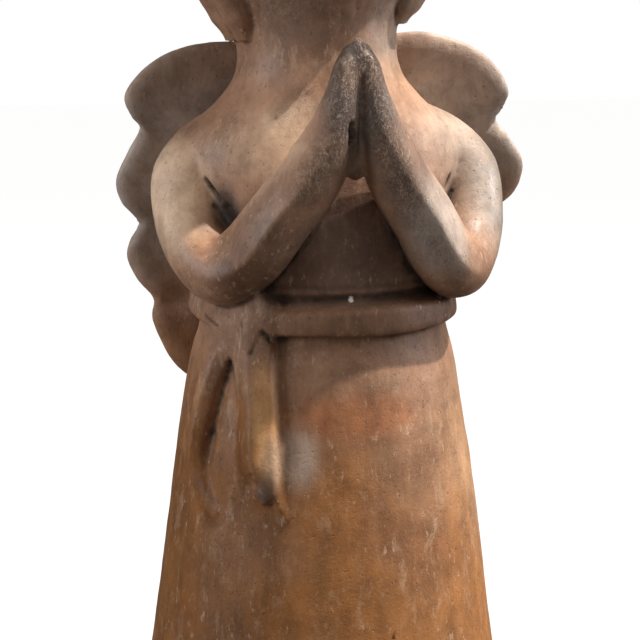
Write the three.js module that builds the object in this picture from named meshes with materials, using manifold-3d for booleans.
// A hand-built terracotta angel: a wheel-thrown gown, torso, neck and head, with rolled-clay arms raised in
// prayer, two lobed slab wings on the back, a tied sash with two hanging ends, and hair laid on in thick
// locks. All of it is luted together wet and fired as one, so it is one solid, standing on a low round base.
// Millimetres, +Z up. The figure faces -Y. The origin is the centre of the underside.

import * as THREE from "three";
import { mergeVertices } from "three/addons/utils/BufferGeometryUtils.js";
import Module from "manifold-3d";

// Driving sizes.
const FIGURE_HEIGHT = 488; // from the top of the base to the crown of the hair
const BASE_HEIGHT = 12;
const BASE_MARGIN = 4; // how far the base stands out past the hem
const BASE_EDGE = 3; // rounding of the base's upper rim
const BASE_EDGE_TURNS = [0, 30, 60, 90]; // the points of that rounding, in degrees
const WING_THICKNESS = 8.5;
const SASH_HALF_HEIGHT = 6.2;
const SASH_STAND_OUT = 5.2; // how far the band stands out of the waist
const SASH_TILT = 0.03; // the band hangs a little lower in front

// The figure's pose and proportions are given in millimetres of the real figure, and follow its height.
const REAL_FIGURE_HEIGHT = 488;
const mm = FIGURE_HEIGHT / REAL_FIGURE_HEIGHT;

// How finely the faceted solid is divided, and the distance within which its points are one.
const BODY_SIDES = 32;
const TUBE_SIDES = 10;
const WING_EDGE_POINTS = 42;
const LOCK_SIDES = 7;
const LOCK_STEPS = 9;
const LUMP_STEPS = 7;
const MERGE_DISTANCE = 0.001;
const SEATING = 2; // how deep the gown is set into the base, so that the clay is one

// The body's stations, from the hem to the crown of the skull. The gown is round: height above the base,
// and radius. Above the waist: height, half-width to the side, reach to the front and to the back, and how
// far the section's middle lies to the figure's left. The head is held a little over the right shoulder.
const GOWN_STATIONS = [
  [0, 88.5], [7, 89], [16, 87], [60, 80.6], [125, 70.6], [170, 64.4], [210, 58.8], [236, 54.6], [250, 51.8],
  [259, 49.2],
];
const UPPER_STATIONS = [
  [268, 48, 48, 48, 0],
  [279, 46.5, 46.5, 46.5, 0],
  [297, 47, 43.5, 45, 0],
  [309, 50.5, 41.5, 43, 0],
  [320, 54.5, 39.5, 41, 0],
  [330, 55, 37.5, 39, 0],
  [338, 50.5, 36, 37, 0],
  [344, 43.5, 34.8, 35.2, -0.5],
  [350, 37.5, 33.2, 33.2, -1],
  [356, 33, 32, 32, -1.5],
  [363, 31.2, 31.2, 31.2, -2],
  [370, 31.4, 31.4, 32, -2.6],
  [377, 32.5, 32.8, 34.5, -3.2],
  [383, 34.6, 35.5, 38, -3.7],
  [390, 38.4, 39.5, 41, -4],
  [401, 41.5, 42, 43.5, -4],
  [417, 43.2, 42, 46, -4],
  [434, 43.4, 42.5, 46.5, -4],
  [450, 42, 42, 45, -4],
  [464, 37.5, 38.5, 40.5, -4],
  [474, 29, 30.5, 32, -4],
  [480, 17, 18, 19, -4],
  [482, 0.6, 0.6, 0.6, -4],
];
const BODY_STATIONS = [
  ...GOWN_STATIONS.map(([h, radius]) => [h, radius, radius, radius, 0]),
  ...UPPER_STATIONS,
];
const HEAD_SHIFT = -4; // the head's middle, to the figure's left
const NECK_STATION = GOWN_STATIONS.length + 11; // the nape, where the hair ends
const CROWN_STATION = BODY_STATIONS.length - 1;

// One arm's stations, from inside the shoulder down to the elbow and up to the fingertips: sideways from
// the line where the palms meet, forward of the axis, height, and the section's half-widths across and deep.
const PALM_LINE = 3; // the hands meet a little to the figure's left
const LEFT_ARM_REACH = 0.945; // the left elbow is held closer in than the right one, by this share
const ARM_STATIONS = [
  [34, -4, 336, 11, 11],
  [47, -1, 329, 13, 13],
  [56, 3, 318, 14, 14],
  [57, 11, 303, 13.2, 13.4],
  [53, 21, 291, 12.8, 13],
  [46, 31, 285.5, 12.8, 13],
  [37, 40, 293, 12.6, 12.8],
  [28, 46.5, 306, 12.2, 12.2],
  [18, 51, 320, 11.6, 11.4],
  [10.8, 53.5, 334, 9.8, 10.2],
  [6.2, 54.5, 349, 6.6, 9],
  [4.2, 54, 361, 4.6, 7.4],
  [3, 53, 369, 3.6, 5.6],
];
const PALMS = { at: [PALM_LINE, 54, 360], size: [4.6, 6.2, 16] }; // the clay that joins the two hands
const FINGERTIP = 4.5; // the rounded end past the last station
const FINGERTIP_TAPER = 0.7; // how far its last ring has closed
const FINGERTIP_DROP = 0.8; // how far that ring lies below the tip

// The two wings' outlines, from the root's top round the lobes to the root's foot: sideways from the middle
// of the back, and height. The figure's left wing sits a little higher and reaches further, as made by hand.
const RIGHT_WING = [
  [4, 352], [20, 366.5], [39, 369], [56, 365.5], [69, 357.5], [75.5, 348], [72.6, 339.5], [69.4, 335.5],
  [74.4, 326], [79.6, 314.5], [77.6, 305], [70.6, 296], [73.8, 288.5], [75, 281], [71, 271.5],
  [64.4, 262], [64.8, 253], [58, 236.5], [49, 227], [36, 222], [22, 226], [8, 240], [4, 296],
];
const LEFT_WING = [
  [4, 354], [22, 368], [41, 373], [59.5, 369], [73, 361], [80.5, 349.5], [79.6, 342], [77, 336.8],
  [82.6, 330], [89.2, 319], [87, 306.5], [77.5, 296], [77.2, 288.5], [75.4, 280], [70, 270.5],
  [62, 261], [58.5, 252], [53, 236.5], [46, 227], [35, 222], [22, 226], [8, 240], [4, 296],
];
const WING_HEART = [34, 300]; // the point the wing's rings shrink towards
const WING_RINGS = [0.5, 0.86, 0.965, 1]; // the rings from near the heart to the rim, as shares of the outline
const WING_RIM = 8; // how squarely the faces run out to the rim
const WING_TOP = 363; // height at which the wing's plane is WING_BACK behind the axis
const WING_BACK = 27;
const WING_LEAN = 0.2; // the plane runs back as it comes down, along the figure's back
const WING_SWEEP = 9; // the top lobes come forward by this much at WING_SPAN from the middle
const WING_LOW_SWEEP = 0.3; // the share of that sweep left in the lower lobes
const WING_SPAN = 80;
const LOWER_LOBES = 250;
const UPPER_LOBES = 340;

// The sash: its knot's azimuth from the front, in degrees to the figure's left, the knot's half-width, depth
// and height, and the two hanging ends as azimuth, height, half-width and thickness.
const SASH_HEIGHT = 270;
const KNOT_AZIMUTH = -44;
const KNOT_HEIGHT = 264.5;
const KNOT_SIZE = [15, 6, 10.5];
const KNOT_STAND_OUT = 1.5;
const TAIL_STAND_OUT = 0.5;
const FRONT_TAIL = [
  [-43, 264, 9, 4.5], [-40, 252, 9.4, 5], [-37, 238, 9.2, 5.2], [-33.5, 222, 8.6, 5.4], [-30.5, 208, 8, 5.6],
  [-28, 199, 6.2, 4.6],
];
const SIDE_TAIL = [
  [-50, 264, 8, 4], [-56.5, 252, 8.2, 4.4], [-61, 238, 8.6, 4.8], [-64.5, 222, 8.8, 4.8], [-66, 206, 8, 4.2],
  [-64, 190, 4.4, 2.6],
];

// Hair: each lock's azimuth from the front at the crown and at its end, for one side of the head, in degrees.
const LOCKS = [
  [12, 66], [34, 82], [58, 98], [82, 114], [106, 131], [130, 148], [152, 163], [173, 177],
];
const LOCK_HALF_WIDTH = 7.6;
const LOCK_THICKNESS = 5.8;
const LOCK_START = 0.03; // the share of the way down from the crown where a lock begins
const LOCK_TURN = 0.62; // the share of the way down at which it has reached its own azimuth
const LOCK_ROOT_WIDTH = 0.55; // the shares of the full section left at its two ends
const LOCK_END_WIDTH = 0.45;
const LOCK_FULL = [0.25, 0.85]; // the shares of the way down between which it has its full section
const LOCK_RAISE = [2.2, 0.8]; // how far its middle stands off the skull at the crown and at its end
const SHORTER_LEFT = 0.9; // the left side's locks end this many stations higher
const TANGENT_STEP = 0.02; // the step along a path from which its direction is taken
const HEAD_HEART = 430; // height of the skull's middle
const CROWN_CAP = { at: [HEAD_SHIFT, 0, 479], size: [13, 13, 9] }; // where the locks are pressed together

// The features laid on the face, each a rounded lump: where its middle is (to the face's left, forward of
// the axis, height), its half-width, half-depth and half-height, how it leans back, and how far round it is
// turned, in degrees.
const FEATURES = [
  { at: [0, 42.4, 430], size: [4.2, 4.6, 13.5], lean: 0.2 }, // the bridge of the nose
  { at: [0, 44.4, 420.5], size: [6.4, 4.4, 3.8] }, // its tip and wings
  { at: [0, 41.6, 411.6], size: [8.2, 2.5, 2.2] }, // the lips
  { at: [0, 41.4, 408], size: [6.6, 2.6, 2.2] },
  { at: [0, 35.4, 398.5], size: [14, 8, 8.5] }, // the chin
  { at: [-16, 37.4, 437.5], size: [8.4, 4.4, 4.8], turn: -23 }, // the closed lids
  { at: [16, 37.4, 437.5], size: [8.4, 4.4, 4.8], turn: 23 },
];

const rad = THREE.MathUtils.degToRad;
const base = (h) => BASE_HEIGHT + h * mm; // a height above the base, as a height above the floor

// A smooth curve through the rows of a table: the row at the fractional place s, by cubic interpolation.
function rowAt(table, s) {
  const i = Math.min(Math.max(Math.floor(s), 0), table.length - 2);
  const t = s - i;
  const [a, b, c, d] = [i - 1, i, i + 1, i + 2].map((k) => table[Math.min(Math.max(k, 0), table.length - 1)]);
  return b.map((_, k) => 0.5 * (2 * b[k] + (c[k] - a[k]) * t + (2 * a[k] - 5 * b[k] + 4 * c[k] - d[k]) * t * t
    + (3 * b[k] - a[k] - 3 * c[k] + d[k]) * t * t * t));
}

// A closed surface through rings of points, each ring closed on itself. The ends are fans to their middles, or
// the last ring joins the first. The faces are turned to point outwards.
function skin(rings, loop = false) {
  const points = rings.flat();
  const n = rings[0].length;
  const faces = [];
  const steps = loop ? rings.length : rings.length - 1;
  for (let i = 0; i < steps; i++) {
    const next = ((i + 1) % rings.length) * n;
    for (let j = 0; j < n; j++) {
      const k = (j + 1) % n;
      faces.push(i * n + j, next + j, next + k, i * n + j, next + k, i * n + k);
    }
  }
  if (!loop) {
    for (const [first, turn] of [[0, false], [(rings.length - 1) * n, true]]) {
      const middle = points.length;
      const ring = points.slice(first, first + n);
      points.push(ring.reduce((sum, p) => sum.add(p), new THREE.Vector3()).divideScalar(n));
      for (let j = 0; j < n; j++) {
        const k = (j + 1) % n;
        faces.push(middle, turn ? first + k : first + j, turn ? first + j : first + k);
      }
    }
  }
  let volume = 0;
  for (let f = 0; f < faces.length; f += 3) {
    const [p, q, r] = [points[faces[f]], points[faces[f + 1]], points[faces[f + 2]]];
    volume += new THREE.Vector3().crossVectors(p, q).dot(r);
  }
  if (volume < 0) faces.reverse();
  const geometry = new THREE.BufferGeometry();
  geometry.setAttribute("position", new THREE.Float32BufferAttribute(points.flatMap((p) => p.toArray()), 3));
  geometry.setIndex(faces);
  return geometry;
}

// A ring of an oval section in the plane of two directions, round a centre.
function oval(centre, across, deep, halfWidth, halfDepth, sides) {
  return Array.from({ length: sides }, (_, j) => {
    const turn = (2 * Math.PI * j) / sides;
    return centre.clone()
      .addScaledVector(across, halfWidth * Math.cos(turn))
      .addScaledVector(deep, halfDepth * Math.sin(turn));
  });
}

// An egg-shaped lump, faced the way it is turned round the axis and leaning back by a slope.
function lump({ at: [left, forward, h], size, lean = 0, turn = 0 }) {
  const across = new THREE.Vector3(Math.cos(rad(turn)), Math.sin(rad(turn)), 0);
  const front = new THREE.Vector3(Math.sin(rad(turn)), -Math.cos(rad(turn)), 0);
  const up = new THREE.Vector3(0, 0, 1).addScaledVector(front, -lean).normalize();
  const deep = new THREE.Vector3().crossVectors(across, up);
  const centre = new THREE.Vector3(left * mm, -forward * mm, base(h));
  const [wide, thick, tall] = size.map((v) => v * mm);
  const rings = [];
  for (let i = 1; i < LUMP_STEPS; i++) {
    const slope = (Math.PI * i) / LUMP_STEPS;
    const middle = centre.clone().addScaledVector(up, -tall * Math.cos(slope));
    rings.push(oval(middle, across, deep, wide * Math.sin(slope), thick * Math.sin(slope), TUBE_SIDES));
  }
  return skin(rings);
}

// A point of the body's surface: station s and azimuth from the front towards the figure's left, in radians,
// moved out by a distance.
function bodyPoint(s, azimuth, out = 0) {
  const [h, side, front, back, shift] = rowAt(BODY_STATIONS, s);
  const deep = Math.cos(azimuth) > 0 ? front : back;
  const reach = 1 / Math.hypot(Math.sin(azimuth) / side, Math.cos(azimuth) / deep);
  const r = reach * mm + out;
  return new THREE.Vector3(shift * mm + r * Math.sin(azimuth), -r * Math.cos(azimuth), base(h));
}

// The body's radius at a height of the gown, for what is laid on it.
function gownRadius(h) {
  const above = GOWN_STATIONS.findIndex((row) => h <= row[0]);
  if (above < 1) return GOWN_STATIONS.at(above)[1] * mm;
  const [low, high] = [GOWN_STATIONS[above - 1], GOWN_STATIONS[above]];
  return THREE.MathUtils.mapLinear(h, low[0], high[0], low[1], high[1]) * mm;
}

function makeBody() {
  const rings = [];
  for (let s = 0; s <= CROWN_STATION; s++) {
    rings.push(Array.from({ length: BODY_SIDES }, (_, j) => bodyPoint(s, (2 * Math.PI * j) / BODY_SIDES)));
  }
  const foot = rings[0].map((p) => new THREE.Vector3(p.x, p.y, BASE_HEIGHT - SEATING));
  return skin([foot, ...rings]);
}

function makeBase() {
  const radius = GOWN_STATIONS[0][1] * mm + BASE_MARGIN;
  const profile = [new THREE.Vector2(0, 0), new THREE.Vector2(radius, 0)];
  for (const turn of BASE_EDGE_TURNS) {
    profile.push(new THREE.Vector2(
      radius - BASE_EDGE + BASE_EDGE * Math.cos(rad(turn)),
      BASE_HEIGHT - BASE_EDGE + BASE_EDGE * Math.sin(rad(turn)),
    ));
  }
  profile.push(new THREE.Vector2(0, BASE_HEIGHT));
  return new THREE.LatheGeometry(profile, BODY_SIDES).rotateX(Math.PI / 2);
}

// One arm as an oval section carried along its stations. side is -1 for the figure's right arm.
function makeArm(side) {
  const rings = [];
  const reach = side > 0 ? LEFT_ARM_REACH : 1;
  const place = (s) => {
    const [x, forward, h] = rowAt(ARM_STATIONS, s);
    return new THREE.Vector3((PALM_LINE + side * reach * x) * mm, -forward * mm, base(h));
  };
  const deepest = new THREE.Vector3(0, -1, 0);
  for (let s = 0; s <= ARM_STATIONS.length - 1; s += 0.5) {
    const [, , , wide, deep] = rowAt(ARM_STATIONS, s);
    const along = place(s + TANGENT_STEP).sub(place(s - TANGENT_STEP)).normalize();
    const across = new THREE.Vector3().crossVectors(along, deepest).normalize();
    const out = new THREE.Vector3().crossVectors(across, along).normalize();
    rings.push(oval(place(s), across, out, wide * mm, deep * mm, TUBE_SIDES));
  }
  const last = rings.at(-1);
  const tip = place(ARM_STATIONS.length - 1).add(new THREE.Vector3(0, 0, FINGERTIP * mm));
  rings.push(last.map((p) => p.clone().lerp(tip, FINGERTIP_TAPER).setZ(tip.z - FINGERTIP_DROP * mm)));
  return skin(rings);
}

// A wing: its outline shrunk towards its middle in rings, front face and back face, with a rounded rim, on a
// plane that leans along the back and comes forward at the tips.
function makeWing(side, outline) {
  const corners = outline.map(([x, h]) => new THREE.Vector3(x, 0, h));
  const curve = new THREE.CatmullRomCurve3(corners, true, "centripetal");
  const edge = curve.getPoints(WING_EDGE_POINTS).slice(0, -1);
  const middle = new THREE.Vector3(WING_HEART[0], 0, WING_HEART[1]);
  const bend = (p, lift) => {
    const top = THREE.MathUtils.smoothstep(p.z, LOWER_LOBES, UPPER_LOBES);
    const sweep = WING_SWEEP * THREE.MathUtils.lerp(WING_LOW_SWEEP, 1, top) * (p.x / WING_SPAN) ** 2;
    const back = WING_BACK + (WING_TOP - p.z) * WING_LEAN - sweep;
    return new THREE.Vector3(side * p.x * mm, back * mm + lift, base(p.z));
  };
  const height = (share) => (WING_THICKNESS / 2) * Math.sqrt(1 - share ** WING_RIM);
  const ring = (share, face) => edge.map((p) => bend(middle.clone().lerp(p, share), face * height(share)));
  const front = WING_RINGS.map((share) => ring(share, -1));
  const back = WING_RINGS.slice(0, -1).reverse().map((share) => ring(share, 1));
  return skin([...front, ...back]);
}

// The sash: an oval section carried round the waist in a closed loop.
function makeSash() {
  const waist = gownRadius(GOWN_STATIONS.at(-1)[0]);
  const deep = (SASH_STAND_OUT + SASH_HALF_HEIGHT * mm) / 2; // half of it is set into the waist
  const middle = waist + SASH_STAND_OUT - deep;
  const rings = [];
  for (let j = 0; j < BODY_SIDES; j++) {
    const turn = (2 * Math.PI * j) / BODY_SIDES;
    const out = new THREE.Vector3(Math.sin(turn), -Math.cos(turn), 0);
    const centre = out.clone().multiplyScalar(middle).setZ(base(SASH_HEIGHT) + SASH_TILT * middle * out.y);
    rings.push(oval(centre, out, new THREE.Vector3(0, 0, 1), deep, SASH_HALF_HEIGHT * mm, TUBE_SIDES - 2));
  }
  return skin(rings, true);
}

// A hanging end of the sash: an oval section laid along the gown.
function makeTail(stations) {
  const rings = [];
  for (let s = 0; s <= stations.length - 1; s += 0.5) {
    const [azimuth, h, wide, thick] = rowAt(stations, s);
    const turn = rad(azimuth);
    const out = new THREE.Vector3(Math.sin(turn), -Math.cos(turn), 0);
    const across = new THREE.Vector3(Math.cos(turn), Math.sin(turn), 0);
    const centre = out.clone().multiplyScalar(gownRadius(h) + TAIL_STAND_OUT * mm).setZ(base(h));
    rings.push(oval(centre, across, out, wide * mm, thick * mm, TUBE_SIDES - 2));
  }
  return skin(rings);
}

function makeKnot() {
  const reach = gownRadius(KNOT_HEIGHT) / mm + KNOT_STAND_OUT;
  const [left, forward] = [reach * Math.sin(rad(KNOT_AZIMUTH)), reach * Math.cos(rad(KNOT_AZIMUTH))];
  return lump({ at: [left, forward, KNOT_HEIGHT], size: KNOT_SIZE, turn: KNOT_AZIMUTH });
}

// A lock of hair: an oval section carried down the head from the crown, turning from the parting to its
// own place. side is -1 for the figure's right.
function makeLock(side, [from, to]) {
  const end = NECK_STATION + (side > 0 ? SHORTER_LEFT : 0);
  const path = (t) => {
    const azimuth = side * rad(THREE.MathUtils.lerp(from, to, THREE.MathUtils.smoothstep(t, 0, LOCK_TURN)));
    const raise = THREE.MathUtils.lerp(...LOCK_RAISE, t) * mm;
    return bodyPoint(THREE.MathUtils.lerp(CROWN_STATION, end, t), azimuth, raise);
  };
  const heart = new THREE.Vector3(HEAD_SHIFT * mm, 0, base(HEAD_HEART));
  const rings = [];
  for (let i = 0; i <= LOCK_STEPS; i++) {
    const t = THREE.MathUtils.lerp(LOCK_START, 1, i / LOCK_STEPS);
    const centre = path(t);
    const along = path(Math.min(t + TANGENT_STEP, 1)).sub(path(t - TANGENT_STEP)).normalize();
    const outward = centre.clone().sub(heart).normalize();
    const across = new THREE.Vector3().crossVectors(along, outward).normalize();
    const out = new THREE.Vector3().crossVectors(across, along).normalize();
    const root = THREE.MathUtils.lerp(LOCK_ROOT_WIDTH, 1, THREE.MathUtils.smoothstep(t, 0, LOCK_FULL[0]));
    const tip = THREE.MathUtils.lerp(1, LOCK_END_WIDTH, THREE.MathUtils.smoothstep(t, LOCK_FULL[1], 1));
    const size = root * tip * mm;
    rings.push(oval(centre, across, out, LOCK_HALF_WIDTH * size, LOCK_THICKNESS * size, LOCK_SIDES));
  }
  return skin(rings);
}

const wasm = await Module();
wasm.setup();

// A closed geometry as a manifold-3d solid.
function solid(geometry) {
  const bare = new THREE.BufferGeometry().setAttribute("position", geometry.getAttribute("position"));
  bare.setIndex(geometry.index);
  const merged = mergeVertices(bare, MERGE_DISTANCE);
  return new wasm.Manifold(new wasm.Mesh({
    numProp: 3,
    vertProperties: merged.getAttribute("position").array,
    triVerts: new Uint32Array(merged.index.array),
  }));
}

// All the clay forms luted into one. A pocket trapped between them is filled: its wall is a shell of negative
// volume, and only the outer shell is kept.
function lute(geometries) {
  const joined = geometries.map(solid).reduce((whole, form) => whole.add(form));
  const mesh = joined.decompose().find((shell) => shell.volume() > 0).getMesh();
  const geometry = new THREE.BufferGeometry();
  geometry.setAttribute("position", new THREE.BufferAttribute(mesh.vertProperties, 3));
  geometry.setIndex(new THREE.BufferAttribute(mesh.triVerts, 1));
  geometry.computeVertexNormals();
  return geometry;
}

const terracotta = new THREE.MeshStandardMaterial({ color: 0x8e6248, roughness: 0.55, metalness: 0 });
const sides = [-1, 1];
const onFace = ({ at: [left, ...place], ...shape }) => lump({ at: [left + HEAD_SHIFT, ...place], ...shape });
const angel = new THREE.Mesh(
  lute([
    makeBase(),
    makeBody(),
    makeSash(),
    makeKnot(),
    makeTail(FRONT_TAIL),
    makeTail(SIDE_TAIL),
    ...sides.map(makeArm),
    lump(PALMS),
    makeWing(-1, RIGHT_WING),
    makeWing(1, LEFT_WING),
    ...sides.flatMap((side) => LOCKS.map((lock) => makeLock(side, lock))),
    lump(CROWN_CAP),
    ...FEATURES.map(onFace),
  ]),
  terracotta,
);
angel.name = "angel";

const part = new THREE.Group();
part.add(angel);
export default part;
